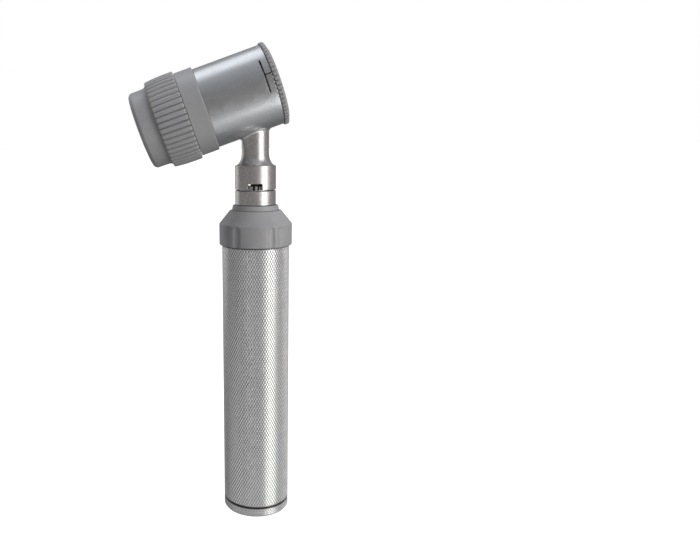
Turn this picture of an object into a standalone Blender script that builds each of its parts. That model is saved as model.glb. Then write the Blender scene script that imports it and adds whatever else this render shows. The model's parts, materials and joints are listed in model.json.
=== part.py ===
"""Hand-held skin magnifier with a contact plate, on a battery handle.

Frame: origin at the centre of the handle's base, +Z up along the handle, the contact plate
towards -X and the eyepiece towards +X. Sizes below are in millimetres.
"""
from math import atan2, cos, hypot, pi, radians, sin

import bmesh
import bpy
from mathutils import Matrix, Vector

MM = 0.001
MERGE = 0.00001
GAP = 0.3
EDGE = 0.3
ROUND_STEPS = 40
SMALL_STEPS = 20
SHARP = radians(32)

# Handle tube, end cap and cells
HANDLE_R = 14.0
TUBE_BORE_R = 13.3
TUBE_TOP = 115.7
TUBE_NECK_R = 13.5
TUBE_NECK_Z = 115.0
END_CAP_TOP = 4.0
PLUG_R = 12.95
PLUG_TOP = 9.1
CUP_R = 11.4
CUP_FLOOR = 1.8
SEAL_Z = 5.35
SEAL_WIRE_R = 0.35
SEAL_RING_R = 12.75
SEAL_GROOVE_R = 12.1
SPRING_PLATE_R = 8.8
SPRING_PLATE_TOP = 2.6
SPRING_WIRE_R = 0.5
SPRING_FOOT_R = 7.5
SPRING_HEAD_R = 5.5
SPRING_FOOT_Z = 3.45
SPRING_HEAD_Z = 8.65
SPRING_TURNS = 3.5
CELL_R = 12.9
CELL_CAN = 48.5
CELL_NUB = 1.5
CELL_NUB_R = 3.2
CELL_EDGE = 0.8
LOWER_CELL_Z = 9.5
UPPER_CELL_Z = LOWER_CELL_Z + CELL_CAN + CELL_NUB + GAP

# Top of the handle: insert, conductor, dimmer and bayonet
ROD_FOOT_Z = UPPER_CELL_Z + CELL_CAN + CELL_NUB + GAP
ROD_FOOT_R = 3.0
ROD_FOOT_TOP = ROD_FOOT_Z + 0.8
ROD_R = 1.2
ROD_TOP = 132.6
BUSH_Z = ROD_FOOT_TOP + GAP
BUSH_R = 3.1
BUSH_BORE_R = 1.5
BUSH_TOP = 132.0
INSERT_R = 13.0
INSERT_Z = 111.2
INSERT_SHOULDER_Z = 115.5
INSERT_NECK_R = 8.0
INSERT_TOP = 132.2
INSERT_BORE_R = BUSH_R + GAP
DIMMER_R = 15.1
DIMMER_Z = 116.0
DIMMER_SHOULDER_Z = 124.7
DIMMER_TOP = 130.3
DIMMER_TOP_R = 10.6
DIMMER_HOLLOW_R = 12.6
DIMMER_HOLLOW_TOP = 125.0
DIMMER_BORE_R = 8.3
DIMMER_BORE_Z = 126.6
FLUTE_CUTTER_R = 4.2
FLUTE_DEPTH = 0.5
FLUTE_BALL_Z = 122.9
FLUTE_PAIRS = 5
FLUTE_PAIR_HALF = radians(10)
FIRST_FLUTE_PAIR = radians(30)
TRACK_IN_R = 8.5
TRACK_OUT_R = 12.1
TRACK_Z = INSERT_SHOULDER_Z + GAP
TRACK_TOP = TRACK_Z + 1.2
TRACK_START = radians(120)
TRACK_SWEEP = radians(300)
WIPER_Z = TRACK_TOP + GAP
WIPER_TOP = WIPER_Z + 1.0
WIPER_IN_R = 9.2
WIPER_OUT_R = DIMMER_HOLLOW_R - GAP
WIPER_START = radians(127)
WIPER_SWEEP = radians(9)
STOP_PIN_R = 0.7
STOP_PIN_RING_R = 10.3
STOP_PIN_TOP = 119.6
RING_FOOT_R = 9.7
RING_TOP_R = 9.3
RING_Z = DIMMER_TOP + GAP
RING_TOP = 132.2
BASE_R = 8.4
BASE_Z = 132.5
BASE_TOP = 138.6
BASE_BORE_R = 4.5
RIM_R = 6.55
RIM_BORE_R = 5.9
RIM_TOP = 140.2
CLAW_R = 7.35
CLAW_Z = 140.7
CLAW_TOP = 142.1
CLAW_HALF = radians(10)
CLAW_CENTRE = radians(-118)
RIM_SLOT_CENTRE = radians(-95)
RIM_SLOT_HALF = radians(3.5)
CORE_R = 5.6
CORE_STEM_R = 4.2
CORE_STEM_Z = 132.8
CORE_Z = BASE_TOP + GAP
CORE_TOP = 143.6
CORE_BORE_R = 2.2
CORE_LIP_R = 1.5
CORE_LIP_Z = 142.4
PIN_R = 1.2
PIN_Z = 136.6
PIN_TOP = 144.5
PIN_FLANGE_R = 1.9
PIN_FLANGE_Z = 141.2
PIN_FLANGE_TOP = 142.1
PIN_SPRING_R = 1.6
PIN_SPRING_WIRE_R = 0.2
PIN_SPRING_FOOT_Z = 133.2
PIN_SPRING_HEAD_Z = 140.6
PIN_SPRING_TURNS = 4

# Head: neck and lamp on the handle's axis
SOCKET_R = 8.45
SOCKET_Z = 139.0
SOCKET_TOP = 148.2
SOCKET_LIP_R = 6.9
SOCKET_LIP_TOP = 140.4
SOCKET_BORE_R = 7.65
SOCKET_BORE_TOP = 147.8
STEM_R = 5.6
STEM_Z = 153.6
STEM_BORE_R = 3.9
FLARE_POINTS = 5
WINDOW_START = radians(-117)
WINDOW_SWEEP = radians(42)
WINDOW_TOP = 141.7
PASSAGE_SWEEP = radians(30)
INSULATOR_R = 7.35
INSULATOR_Z = 144.9
INSULATOR_TOP = 147.5
INSULATOR_BORE_R = 1.9
LAMP_CONTACT_R = 1.5
LAMP_CONTACT_Z = 144.8
LAMP_CONTACT_TOP = 147.6
LAMP_BASE_R = 3.5
LAMP_BASE_Z = 148.1
LAMP_BASE_TOP = 156.8
LAMP_RIM_R = 3.1
BULB_R = 2.6
BULB_Z = LAMP_BASE_TOP + GAP
BULB_SHOULDER_Z = 159.8
SCREW_R = 0.9
SCREW_Z = 143.4
SCREW_ANGLE = radians(-125)
SCREW_IN_R = 7.7
SCREW_OUT_R = 8.35

# Head axis: positions along it grow from the contact plate to the eyepiece
HEAD_TILT = radians(19.2)
HEAD_Z = 178.37
HEAD_R = 16.2
HEAD_BORE_R = 14.2
HEAD_FRONT = -21.3
HEAD_REAR = 6.3
SPIGOT_R = 15.0
SPIGOT_FRONT = -26.7
SLOT_AT = 3.8
SLOT_WIDTH = 0.66
SLOT_START = radians(228.4)
SLOT_SWEEP = radians(53.1)
SLIT_ANGLE = radians(257)
SLIT_WIDTH = 0.5
COLLAR_R = 17.15
COLLAR_REAR = HEAD_FRONT - GAP
COLLAR_FRONT = -28.8
COLLAR_BORE_R = SPIGOT_R + GAP
COLLAR_WEB = SPIGOT_FRONT - GAP
THREAD_R = 14.9
THREAD_FRONT = -37.0
THREAD_BORE_R = 13.6
CAP_REAR = COLLAR_FRONT - GAP
CAP_BORE_R = THREAD_R + GAP
CAP_BORE_FRONT = -40.4
CAP_NECK_R = 12.0
CAP_NECK_REAR = -43.6
RIB_R = 18.15
RIB_FRONT_R = 17.55
RIB_FRONT = -40.75
RIB_COUNT = 48
RIB_DEPTH = 0.55
NOSE_ROOT_R = 16.0
NOSE_ROOT = -42.6
NOSE_R = 15.6
NOSE_FRONT = -48.9
NOSE_ROUND = 1.5
GLASS_R = 12.9
GLASS_SEAT_R = GLASS_R + GAP
GLASS_FRONT = -48.5
GLASS_REAR = -46.2
GASKET_THICKNESS = 0.3
GASKET_IN_R = 12.2
GLASS_SHOULDER = GLASS_REAR + GASKET_THICKNESS + 2 * GAP
CAP_SEAL_AT = -38.6
CAP_SEAL_R = 14.3
CAP_SEAL_WIRE_R = 0.5
FOCUS_R = 16.85
FOCUS_FRONT = HEAD_REAR + GAP
FOCUS_REAR = 9.8
FOCUS_CROWN_R = 14.4
FOCUS_EYE_R = 10.8
FOCUS_EYE_DEPTH = 1.4
FOCUS_SLEEVE_R = 13.9
FOCUS_SLEEVE_BORE_R = 12.4
FOCUS_SLEEVE_FRONT = 0.0
FOCUS_TOOTH_DEPTH = 0.4
LENS_CELL_R = FOCUS_SLEEVE_BORE_R - GAP
LENS_CELL_FRONT = 1.2
LENS_CELL_REAR = 6.4
LENS_CELL_BORE_R = 10.5
LENS_CELL_LIP_R = 9.6
LENS_CELL_LIP = 5.8
LENS_R = 10.2
LENS_EDGE_REAR = 5.5
LENS_EDGE_FRONT = 4.1
LENS_SAG = 1.1
RETAINER_REAR = 3.5
RETAINER_FRONT = 2.2
RETAINER_IN_R = 9.3
BAFFLE_R = 13.9
BAFFLE_REAR = -0.5
BAFFLE_FLANGE_FRONT = -1.1
BAFFLE_TUBE_R = 7.3
BAFFLE_BORE_R = 6.8
BAFFLE_FRONT = -9.0
MIRROR_SIZE = 5.6
MIRROR_THICKNESS = 0.8
MIRROR_OFFSET = 10.7
MIRROR_AT = -4.1
MIRROR_TILT = radians(27.8)
BRACKET_THICKNESS = 0.6

CURVE_POINTS_PER_TURN = 12
PIN_CURVE_POINTS_PER_TURN = 8

SILVER = (0.56, 0.57, 0.58)
STEEL = (0.62, 0.62, 0.63)
GREY = (0.32, 0.32, 0.33)
BLACK = (0.02, 0.02, 0.02)
BRASS = (0.66, 0.47, 0.20)
GLASS = (0.80, 0.86, 0.84)
CELL_WRAP = (0.10, 0.16, 0.30)


def clear_scene():
    for item in list(bpy.data.objects):
        bpy.data.objects.remove(item, do_unlink=True)


def add_collection(name):
    collection = bpy.data.collections.new(name)
    bpy.context.scene.collection.children.link(collection)
    return collection


clear_scene()
PARTS = add_collection("contact_magnifier")
CUTTERS = add_collection("cutters")

head_axis = bpy.data.objects.new("head_axis", None)
head_axis.location = (0, 0, HEAD_Z * MM)
head_axis.rotation_euler = (0, pi / 2 - HEAD_TILT, 0)
PARTS.objects.link(head_axis)


def add_material(name, colour, roughness, metallic):
    material = bpy.data.materials.new(name)
    material.use_nodes = True
    shader = material.node_tree.nodes["Principled BSDF"]
    shader.inputs["Base Color"].default_value = (*colour, 1)
    shader.inputs["Roughness"].default_value = roughness
    shader.inputs["Metallic"].default_value = metallic
    return material


def add_part(name, data, look, parent=None):
    """Links a sub-part with a material of its own; look is colour, roughness, metallic."""
    part = bpy.data.objects.new(name, data)
    data.materials.clear()
    data.materials.append(add_material(name, *look))
    part.parent = parent
    PARTS.objects.link(part)
    return part


def add_cutter(name, data, parent=None):
    cutter = bpy.data.objects.new(name, data)
    cutter.hide_render = True
    cutter.display_type = "WIRE"
    cutter.parent = parent
    CUTTERS.objects.link(cutter)
    return cutter


def mesh_from(shape, name):
    mesh = bpy.data.meshes.new(name)
    shape.to_mesh(mesh)
    shape.free()
    return mesh


def spin_outline(item, steps):
    screw = item.modifiers.new("turn", "SCREW")
    screw.axis = "Z"
    screw.steps = steps
    screw.render_steps = steps
    screw.use_merge_vertices = True
    screw.merge_threshold = MERGE
    screw.use_smooth_shade = True


def outline_mesh(name, outline):
    """Edges of a (radius, height) outline; a ring's outline closes, a solid's ends on the axis."""
    shape = bmesh.new()
    points = [shape.verts.new((radius * MM, 0, height * MM)) for radius, height in outline]
    for start, end in zip(points, points[1:]):
        shape.edges.new((start, end))
    if outline[0][0] > 0:
        shape.edges.new((points[-1], points[0]))
    return mesh_from(shape, name)


def turned(name, outline, look, parent=None, steps=ROUND_STEPS):
    part = add_part(name, outline_mesh(name, outline), look, parent)
    spin_outline(part, steps)
    return part


def ring_outline(inner, outer, bottom, top):
    return [(inner, top), (outer, top), (outer, bottom), (inner, bottom)]


def sector_mesh(name, inner, outer, bottom, top, start, sweep, steps):
    """A block of ring section swept about Z from the start angle."""
    shape = bmesh.new()
    outline = ring_outline(inner, outer, bottom, top)
    corners = [shape.verts.new((radius * MM, 0, height * MM)) for radius, height in outline]
    face = shape.faces.new(corners)
    bmesh.ops.rotate(shape, verts=corners, cent=(0, 0, 0), matrix=Matrix.Rotation(start, 3, "Z"))
    bmesh.ops.spin(shape, geom=[face, *face.edges, *face.verts], axis=(0, 0, 1), cent=(0, 0, 0),
                   angle=sweep, steps=steps, use_merge=False, use_duplicate=False)
    bmesh.ops.recalc_face_normals(shape, faces=shape.faces)
    return mesh_from(shape, name)


def rod_mesh(name, radius, bottom, top, steps, place):
    shape = bmesh.new()
    bmesh.ops.create_cone(shape, cap_ends=True, segments=steps, radius1=radius * MM,
                          radius2=radius * MM, depth=(top - bottom) * MM)
    bmesh.ops.translate(shape, verts=shape.verts, vec=(0, 0, (top + bottom) / 2 * MM))
    bmesh.ops.transform(shape, verts=shape.verts, matrix=place)
    return mesh_from(shape, name)


def block_mesh(name, size, place):
    shape = bmesh.new()
    bmesh.ops.create_cube(shape, size=1)
    bmesh.ops.scale(shape, verts=shape.verts, vec=Vector(size) * MM)
    bmesh.ops.transform(shape, verts=shape.verts, matrix=place)
    return mesh_from(shape, name)


def cut(part, cutter):
    boolean = part.modifiers.new(cutter.name, "BOOLEAN")
    boolean.operation = "DIFFERENCE"
    boolean.solver = "EXACT"
    boolean.object = cutter


def shade_smooth(part):
    part.data.shade_smooth()
    part.data.set_sharp_from_angle(angle=SHARP)


def torus(name, ring_radius, wire_radius, height, look, parent=None):
    sides = 6
    turns = [2 * pi * step / sides for step in range(sides)]
    outline = [(ring_radius + wire_radius * cos(turn), height - wire_radius * sin(turn)) for turn in turns]
    return turned(name, outline, look, parent, SMALL_STEPS)


def coil(name, foot, head, turns, wire_radius, points_per_turn, look):
    """A wire coil about Z between two (radius, height) ends."""
    curve = bpy.data.curves.new(name, "CURVE")
    curve.dimensions = "3D"
    curve.bevel_depth = wire_radius * MM
    curve.bevel_resolution = 2
    curve.use_fill_caps = True
    count = int(turns * points_per_turn) + 1
    wire = curve.splines.new("POLY")
    wire.points.add(count - 1)
    for index, point in enumerate(wire.points):
        share = index / (count - 1)
        angle = 2 * pi * turns * share
        radius = foot[0] + (head[0] - foot[0]) * share
        height = foot[1] + (head[1] - foot[1]) * share
        point.co = (radius * cos(angle) * MM, radius * sin(angle) * MM, height * MM, 1)
    bead = bpy.data.objects.new(name, curve)
    PARTS.objects.link(bead)
    bpy.context.view_layer.update()
    mesh = bpy.data.meshes.new_from_object(bead.evaluated_get(bpy.context.evaluated_depsgraph_get()))
    shape = bmesh.new()
    shape.from_mesh(mesh)
    bmesh.ops.remove_doubles(shape, verts=shape.verts, dist=MERGE)
    bmesh.ops.recalc_face_normals(shape, faces=shape.faces)
    mesh = mesh_from(shape, name)
    bpy.data.objects.remove(bead, do_unlink=True)
    part = add_part(name, mesh, look)
    shade_smooth(part)
    return part


def serrate(part, count, depth, low, high, least_radius):
    """Draws every second column of a turned piece in, to leave crests around it.

    low and high bound the band along the axis, least_radius keeps the bore as it is.
    """
    bpy.context.view_layer.update()
    solid = bpy.data.meshes.new_from_object(part.evaluated_get(bpy.context.evaluated_depsgraph_get()))
    part.modifiers.clear()
    part.data = solid
    for vertex in solid.vertices:
        radius = hypot(vertex.co.x, vertex.co.y)
        column = round(atan2(vertex.co.y, vertex.co.x) / (pi / count))
        inside = low * MM < vertex.co.z < high * MM and radius > least_radius * MM
        if inside and column % 2:
            share = (radius - depth * MM) / radius
            vertex.co.x *= share
            vertex.co.y *= share


def handle_tube():
    turned("handle_tube", [
        (TUBE_BORE_R, TUBE_TOP),
        (TUBE_NECK_R, TUBE_TOP),
        (TUBE_NECK_R, TUBE_NECK_Z + EDGE),
        (HANDLE_R, TUBE_NECK_Z),
        (HANDLE_R, END_CAP_TOP + GAP + EDGE),
        (HANDLE_R - EDGE, END_CAP_TOP + GAP),
        (TUBE_BORE_R, END_CAP_TOP + GAP),
    ], (SILVER, 0.3, 1.0))


def end_cap():
    groove = SEAL_WIRE_R + GAP
    turned("end_cap", [
        (0, CUP_FLOOR),
        (CUP_R, CUP_FLOOR),
        (CUP_R, PLUG_TOP),
        (PLUG_R, PLUG_TOP),
        (PLUG_R, SEAL_Z + groove),
        (SEAL_GROOVE_R, SEAL_Z + groove),
        (SEAL_GROOVE_R, SEAL_Z - groove),
        (PLUG_R, SEAL_Z - groove),
        (PLUG_R, END_CAP_TOP),
        (HANDLE_R - EDGE, END_CAP_TOP),
        (HANDLE_R, END_CAP_TOP - EDGE),
        (HANDLE_R, 2 * EDGE),
        (HANDLE_R - 2 * EDGE, 0),
        (0, 0),
    ], (SILVER, 0.3, 1.0))
    torus("end_cap_seal", SEAL_RING_R, SEAL_WIRE_R, SEAL_Z, (BLACK, 0.6, 0.0))
    turned("spring_plate", [
        (0, SPRING_PLATE_TOP),
        (SPRING_PLATE_R, SPRING_PLATE_TOP),
        (SPRING_PLATE_R, CUP_FLOOR + GAP),
        (0, CUP_FLOOR + GAP),
    ], (STEEL, 0.3, 1.0), steps=SMALL_STEPS)
    coil("battery_spring", (SPRING_FOOT_R, SPRING_FOOT_Z), (SPRING_HEAD_R, SPRING_HEAD_Z),
         SPRING_TURNS, SPRING_WIRE_R, CURVE_POINTS_PER_TURN, (STEEL, 0.3, 1.0))


def cell(name, foot):
    """A C-size cell standing on its negative end."""
    can_top = foot + CELL_CAN
    turned(name, [
        (0, can_top + CELL_NUB),
        (CELL_NUB_R, can_top + CELL_NUB),
        (CELL_NUB_R, can_top),
        (CELL_R - CELL_EDGE, can_top),
        (CELL_R, can_top - CELL_EDGE),
        (CELL_R, foot + CELL_EDGE),
        (CELL_R - CELL_EDGE, foot),
        (0, foot),
    ], (CELL_WRAP, 0.35, 0.4), steps=SMALL_STEPS)


def handle_insert():
    turned("handle_top_insert", [
        (INSERT_BORE_R, INSERT_TOP),
        (INSERT_NECK_R, INSERT_TOP),
        (INSERT_NECK_R, INSERT_SHOULDER_Z),
        (INSERT_R, INSERT_SHOULDER_Z),
        (INSERT_R, INSERT_Z),
        (INSERT_BORE_R, INSERT_Z),
    ], (STEEL, 0.35, 1.0), steps=SMALL_STEPS)
    turned("contact_insulator", ring_outline(BUSH_BORE_R, BUSH_R, BUSH_Z, BUSH_TOP),
           (BLACK, 0.5, 0.0), steps=SMALL_STEPS)
    turned("conductor_rod", [
        (0, ROD_TOP),
        (ROD_R, ROD_TOP),
        (ROD_R, ROD_FOOT_TOP),
        (ROD_FOOT_R, ROD_FOOT_TOP),
        (ROD_FOOT_R, ROD_FOOT_Z),
        (0, ROD_FOOT_Z),
    ], (BRASS, 0.3, 1.0), steps=SMALL_STEPS)


def dimmer():
    collar = turned("dimmer_collar", [
        (DIMMER_BORE_R, DIMMER_TOP),
        (DIMMER_TOP_R, DIMMER_TOP),
        (DIMMER_R, DIMMER_SHOULDER_Z),
        (DIMMER_R, DIMMER_Z + EDGE),
        (DIMMER_R - EDGE, DIMMER_Z),
        (DIMMER_HOLLOW_R, DIMMER_Z),
        (DIMMER_HOLLOW_R, DIMMER_HOLLOW_TOP),
        (DIMMER_BORE_R, DIMMER_BORE_Z),
    ], (GREY, 0.45, 0.0))
    centre = DIMMER_R + FLUTE_CUTTER_R - FLUTE_DEPTH
    foot = DIMMER_Z - FLUTE_CUTTER_R
    for pair in range(FLUTE_PAIRS):
        for side in (-1, 1):
            angle = -pi / 2 + FIRST_FLUTE_PAIR + pair * 2 * pi / FLUTE_PAIRS + side * FLUTE_PAIR_HALF
            outline = [
                (FLUTE_CUTTER_R * sin(turn), FLUTE_BALL_Z + FLUTE_CUTTER_R * cos(turn))
                for turn in (pi * step / 12 for step in range(7))
            ]
            outline += [(FLUTE_CUTTER_R, foot), (0, foot)]
            name = f"flute_{pair}{'ab'[side > 0]}"
            cutter = add_cutter(name, outline_mesh(name, outline))
            cutter.location = (centre * cos(angle) * MM, centre * sin(angle) * MM, 0)
            cutter.rotation_euler = (0, 0, angle)
            spin_outline(cutter, SMALL_STEPS)
            cut(collar, cutter)
    add_part("rheostat_wiper",
             sector_mesh("rheostat_wiper", WIPER_IN_R, WIPER_OUT_R, WIPER_Z, WIPER_TOP,
                         WIPER_START, WIPER_SWEEP, 1),
             (BRASS, 0.35, 1.0))
    add_part("rheostat_track",
             sector_mesh("rheostat_track", TRACK_IN_R, TRACK_OUT_R, TRACK_Z, TRACK_TOP,
                         TRACK_START, TRACK_SWEEP, 30),
             (BLACK, 0.5, 0.0))
    stop_place = Matrix.Translation((0, STOP_PIN_RING_R * MM, 0))
    add_part("dimmer_stop_pin",
             rod_mesh("dimmer_stop_pin", STOP_PIN_R, TRACK_Z, STOP_PIN_TOP, 12, stop_place),
             (STEEL, 0.3, 1.0))
    turned("collar_retaining_ring", [
        (DIMMER_BORE_R, RING_TOP),
        (RING_TOP_R, RING_TOP),
        (RING_FOOT_R, RING_Z),
        (DIMMER_BORE_R, RING_Z),
    ], (GREY, 0.45, 0.0))


def bayonet():
    base = turned("bayonet_base", [
        (RIM_BORE_R, CLAW_TOP),
        (CLAW_R, CLAW_TOP),
        (CLAW_R, CLAW_Z),
        (RIM_R, CLAW_Z),
        (RIM_R, BASE_TOP),
        (BASE_R - EDGE, BASE_TOP),
        (BASE_R, BASE_TOP - EDGE),
        (BASE_R, BASE_Z),
        (BASE_BORE_R, BASE_Z),
        (BASE_BORE_R, BASE_TOP - 2 * EDGE),
        (RIM_BORE_R, BASE_TOP - 2 * EDGE),
    ], (STEEL, 0.25, 1.0))
    third = 2 * pi / 3
    above = CLAW_TOP + 1
    for index in range(3):
        start = CLAW_CENTRE + CLAW_HALF + index * third
        name = f"between_claws_{index}"
        gap_mesh = sector_mesh(name, RIM_BORE_R - 1, CLAW_R + 1, RIM_TOP, above,
                               start, third - 2 * CLAW_HALF, 12)
        cut(base, add_cutter(name, gap_mesh))
    slot_mesh = sector_mesh("rim_slot", RIM_BORE_R - 1, RIM_R + 1, BASE_TOP + GAP, RIM_TOP + 1,
                            RIM_SLOT_CENTRE - RIM_SLOT_HALF, 2 * RIM_SLOT_HALF, 1)
    cut(base, add_cutter("rim_slot", slot_mesh))
    turned("bayonet_core", [
        (CORE_LIP_R, CORE_TOP),
        (CORE_R - EDGE, CORE_TOP),
        (CORE_R, CORE_TOP - EDGE),
        (CORE_R, CORE_Z),
        (CORE_STEM_R, CORE_Z),
        (CORE_STEM_R, CORE_STEM_Z),
        (CORE_BORE_R, CORE_STEM_Z),
        (CORE_BORE_R, CORE_LIP_Z),
        (CORE_LIP_R, CORE_LIP_Z),
    ], (BLACK, 0.5, 0.0), steps=SMALL_STEPS)
    turned("center_contact_pin", [
        (0, PIN_TOP),
        (PIN_R - EDGE, PIN_TOP),
        (PIN_R, PIN_TOP - EDGE),
        (PIN_R, PIN_FLANGE_TOP),
        (PIN_FLANGE_R, PIN_FLANGE_TOP),
        (PIN_FLANGE_R, PIN_FLANGE_Z),
        (PIN_R, PIN_FLANGE_Z),
        (PIN_R, PIN_Z),
        (0, PIN_Z),
    ], (BRASS, 0.2, 1.0), steps=SMALL_STEPS)
    coil("contact_pin_spring", (PIN_SPRING_R, PIN_SPRING_FOOT_Z), (PIN_SPRING_R, PIN_SPRING_HEAD_Z),
         PIN_SPRING_TURNS, PIN_SPRING_WIRE_R, PIN_CURVE_POINTS_PER_TURN, (STEEL, 0.3, 1.0))


def flare_outline():
    """Concave quarter wave from the socket's shoulder in to the stem, read downwards."""
    height = STEM_Z - SOCKET_TOP
    points = []
    for step in range(FLARE_POINTS + 1):
        turn = pi / 2 * step / FLARE_POINTS
        points.append((SOCKET_R - (SOCKET_R - STEM_R) * cos(turn), STEM_Z - height * sin(turn)))
    return points


def head_neck():
    over = HEAD_Z
    neck = turned("head_neck", [
        (STEM_BORE_R, over),
        (STEM_R, over),
        *flare_outline(),
        (SOCKET_R, SOCKET_Z + EDGE),
        (SOCKET_R - EDGE, SOCKET_Z),
        (SOCKET_LIP_R, SOCKET_Z),
        (SOCKET_LIP_R, SOCKET_LIP_TOP),
        (SOCKET_BORE_R, SOCKET_LIP_TOP),
        (SOCKET_BORE_R, SOCKET_BORE_TOP),
        (STEM_BORE_R, SOCKET_BORE_TOP),
    ], (STEEL, 0.25, 1.0))
    below = SOCKET_Z - 1
    window = sector_mesh("window", SOCKET_LIP_R - 1, SOCKET_R + 1, below, WINDOW_TOP,
                         WINDOW_START, WINDOW_SWEEP, 6)
    cut(neck, add_cutter("window", window))
    passage_start = WINDOW_START + (WINDOW_SWEEP - PASSAGE_SWEEP) / 2
    for index in (1, 2):
        name = f"claw_passage_{index}"
        passage = sector_mesh(name, SOCKET_LIP_R - 1, SOCKET_BORE_R, below, SOCKET_LIP_TOP + GAP,
                              passage_start + index * 2 * pi / 3, PASSAGE_SWEEP, 4)
        cut(neck, add_cutter(name, passage))
    clearance = rod_mesh("tube_clearance", HEAD_R + GAP, -2 * HEAD_R, 2 * HEAD_R, 96, Matrix.Identity(4))
    cut(neck, add_cutter("tube_clearance", clearance, head_axis))
    turn_out = Matrix.Rotation(SCREW_ANGLE, 4, "Z") @ Matrix.Rotation(pi / 2, 4, "Y")
    place = Matrix.Translation((0, 0, SCREW_Z * MM)) @ turn_out
    hole = rod_mesh("screw_hole", SCREW_R + GAP, SOCKET_BORE_R - 1, SOCKET_R + 1, 16, place)
    cut(neck, add_cutter("screw_hole", hole))
    add_part("socket_grub_screw",
             rod_mesh("socket_grub_screw", SCREW_R, SCREW_IN_R, SCREW_OUT_R, 16, place),
             (STEEL, 0.3, 1.0))


def lamp():
    turned("socket_insulator", ring_outline(INSULATOR_BORE_R, INSULATOR_R, INSULATOR_Z, INSULATOR_TOP),
           (BLACK, 0.5, 0.0), steps=SMALL_STEPS)
    turned("lamp_contact", [
        (0, LAMP_CONTACT_TOP),
        (LAMP_CONTACT_R, LAMP_CONTACT_TOP),
        (LAMP_CONTACT_R, LAMP_CONTACT_Z + EDGE),
        (LAMP_CONTACT_R - EDGE, LAMP_CONTACT_Z),
        (0, LAMP_CONTACT_Z),
    ], (BRASS, 0.25, 1.0), steps=SMALL_STEPS)
    turned("lamp_base", [
        (0, LAMP_BASE_TOP),
        (LAMP_RIM_R, LAMP_BASE_TOP),
        (LAMP_BASE_R, LAMP_BASE_TOP - 2 * EDGE),
        (LAMP_BASE_R, LAMP_BASE_Z),
        (0, LAMP_BASE_Z),
    ], (STEEL, 0.3, 1.0), steps=SMALL_STEPS)
    dome = [
        (BULB_R * sin(turn), BULB_SHOULDER_Z + BULB_R * cos(turn))
        for turn in (pi * step / 12 for step in range(7))
    ]
    turned("lamp_bulb", [*dome, (BULB_R, BULB_Z), (0, BULB_Z)], (GLASS, 0.05, 0.0), steps=SMALL_STEPS)


def head_tube():
    tube = turned("head_tube", [
        (HEAD_BORE_R, HEAD_REAR),
        (HEAD_R - EDGE, HEAD_REAR),
        (HEAD_R, HEAD_REAR - EDGE),
        (HEAD_R, HEAD_FRONT),
        (SPIGOT_R, HEAD_FRONT),
        (SPIGOT_R, SPIGOT_FRONT),
        (HEAD_BORE_R, SPIGOT_FRONT),
    ], (SILVER, 0.35, 1.0), head_axis)
    port = rod_mesh("lamp_port", STEM_BORE_R, BULB_Z, HEAD_Z, 24, Matrix.Identity(4))
    cut(tube, add_cutter("lamp_port", port))
    half = SLOT_WIDTH / 2
    for side in range(2):
        slot = sector_mesh(f"slot_{side}", HEAD_BORE_R - 1, HEAD_R + 1, SLOT_AT - half, SLOT_AT + half,
                           SLOT_START + side * pi, SLOT_SWEEP, 7)
        cut(tube, add_cutter(f"slot_{side}", slot, head_axis))
        length = HEAD_REAR + 1 - SLOT_AT
        middle = Vector(((HEAD_BORE_R + HEAD_R) / 2, 0, SLOT_AT + length / 2)) * MM
        place = Matrix.Rotation(SLIT_ANGLE + side * pi, 4, "Z") @ Matrix.Translation(middle)
        slit = block_mesh(f"slit_{side}", (HEAD_R - HEAD_BORE_R + 2, SLIT_WIDTH, length), place)
        cut(tube, add_cutter(f"slit_{side}", slit, head_axis))


def light_path():
    turned("light_baffle", [
        (BAFFLE_BORE_R, BAFFLE_REAR),
        (BAFFLE_R, BAFFLE_REAR),
        (BAFFLE_R, BAFFLE_FLANGE_FRONT),
        (BAFFLE_TUBE_R, BAFFLE_FLANGE_FRONT),
        (BAFFLE_TUBE_R, BAFFLE_FRONT),
        (BAFFLE_BORE_R, BAFFLE_FRONT),
    ], (BLACK, 0.7, 0.0), head_axis, SMALL_STEPS)
    tilt = Matrix.Rotation(-MIRROR_TILT, 4, "Y")
    centre = Matrix.Translation((MIRROR_OFFSET * MM, 0, MIRROR_AT * MM)) @ tilt
    plate = (MIRROR_SIZE, MIRROR_SIZE, MIRROR_THICKNESS)
    add_part("deflector_mirror", block_mesh("deflector_mirror", plate, centre),
             (STEEL, 0.05, 1.0), head_axis)
    behind = (MIRROR_THICKNESS + BRACKET_THICKNESS) / 2 + GAP
    backing = centre @ Matrix.Translation((0, 0, behind * MM))
    add_part("mirror_bracket", block_mesh("mirror_bracket", (*plate[:2], BRACKET_THICKNESS), backing),
             (BLACK, 0.6, 0.0), head_axis)


def front_collar():
    turned("front_collar", [
        (COLLAR_BORE_R, COLLAR_REAR),
        (COLLAR_R - EDGE, COLLAR_REAR),
        (COLLAR_R, COLLAR_REAR - EDGE),
        (COLLAR_R, COLLAR_FRONT),
        (THREAD_R, COLLAR_FRONT),
        (THREAD_R, THREAD_FRONT),
        (THREAD_BORE_R, THREAD_FRONT),
        (THREAD_BORE_R, COLLAR_WEB),
        (COLLAR_BORE_R, COLLAR_WEB),
    ], (GREY, 0.45, 0.0), head_axis)


def rib_crest():
    """The ribbed band's crests: a shallow arc, highest a third of the way from its rear."""
    return [
        (RIB_R - 2 * EDGE, CAP_REAR),
        (RIB_R, CAP_REAR - 3 * EDGE),
        (RIB_R, CAP_REAR - 16 * EDGE),
        (RIB_FRONT_R, RIB_FRONT),
    ]


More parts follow.
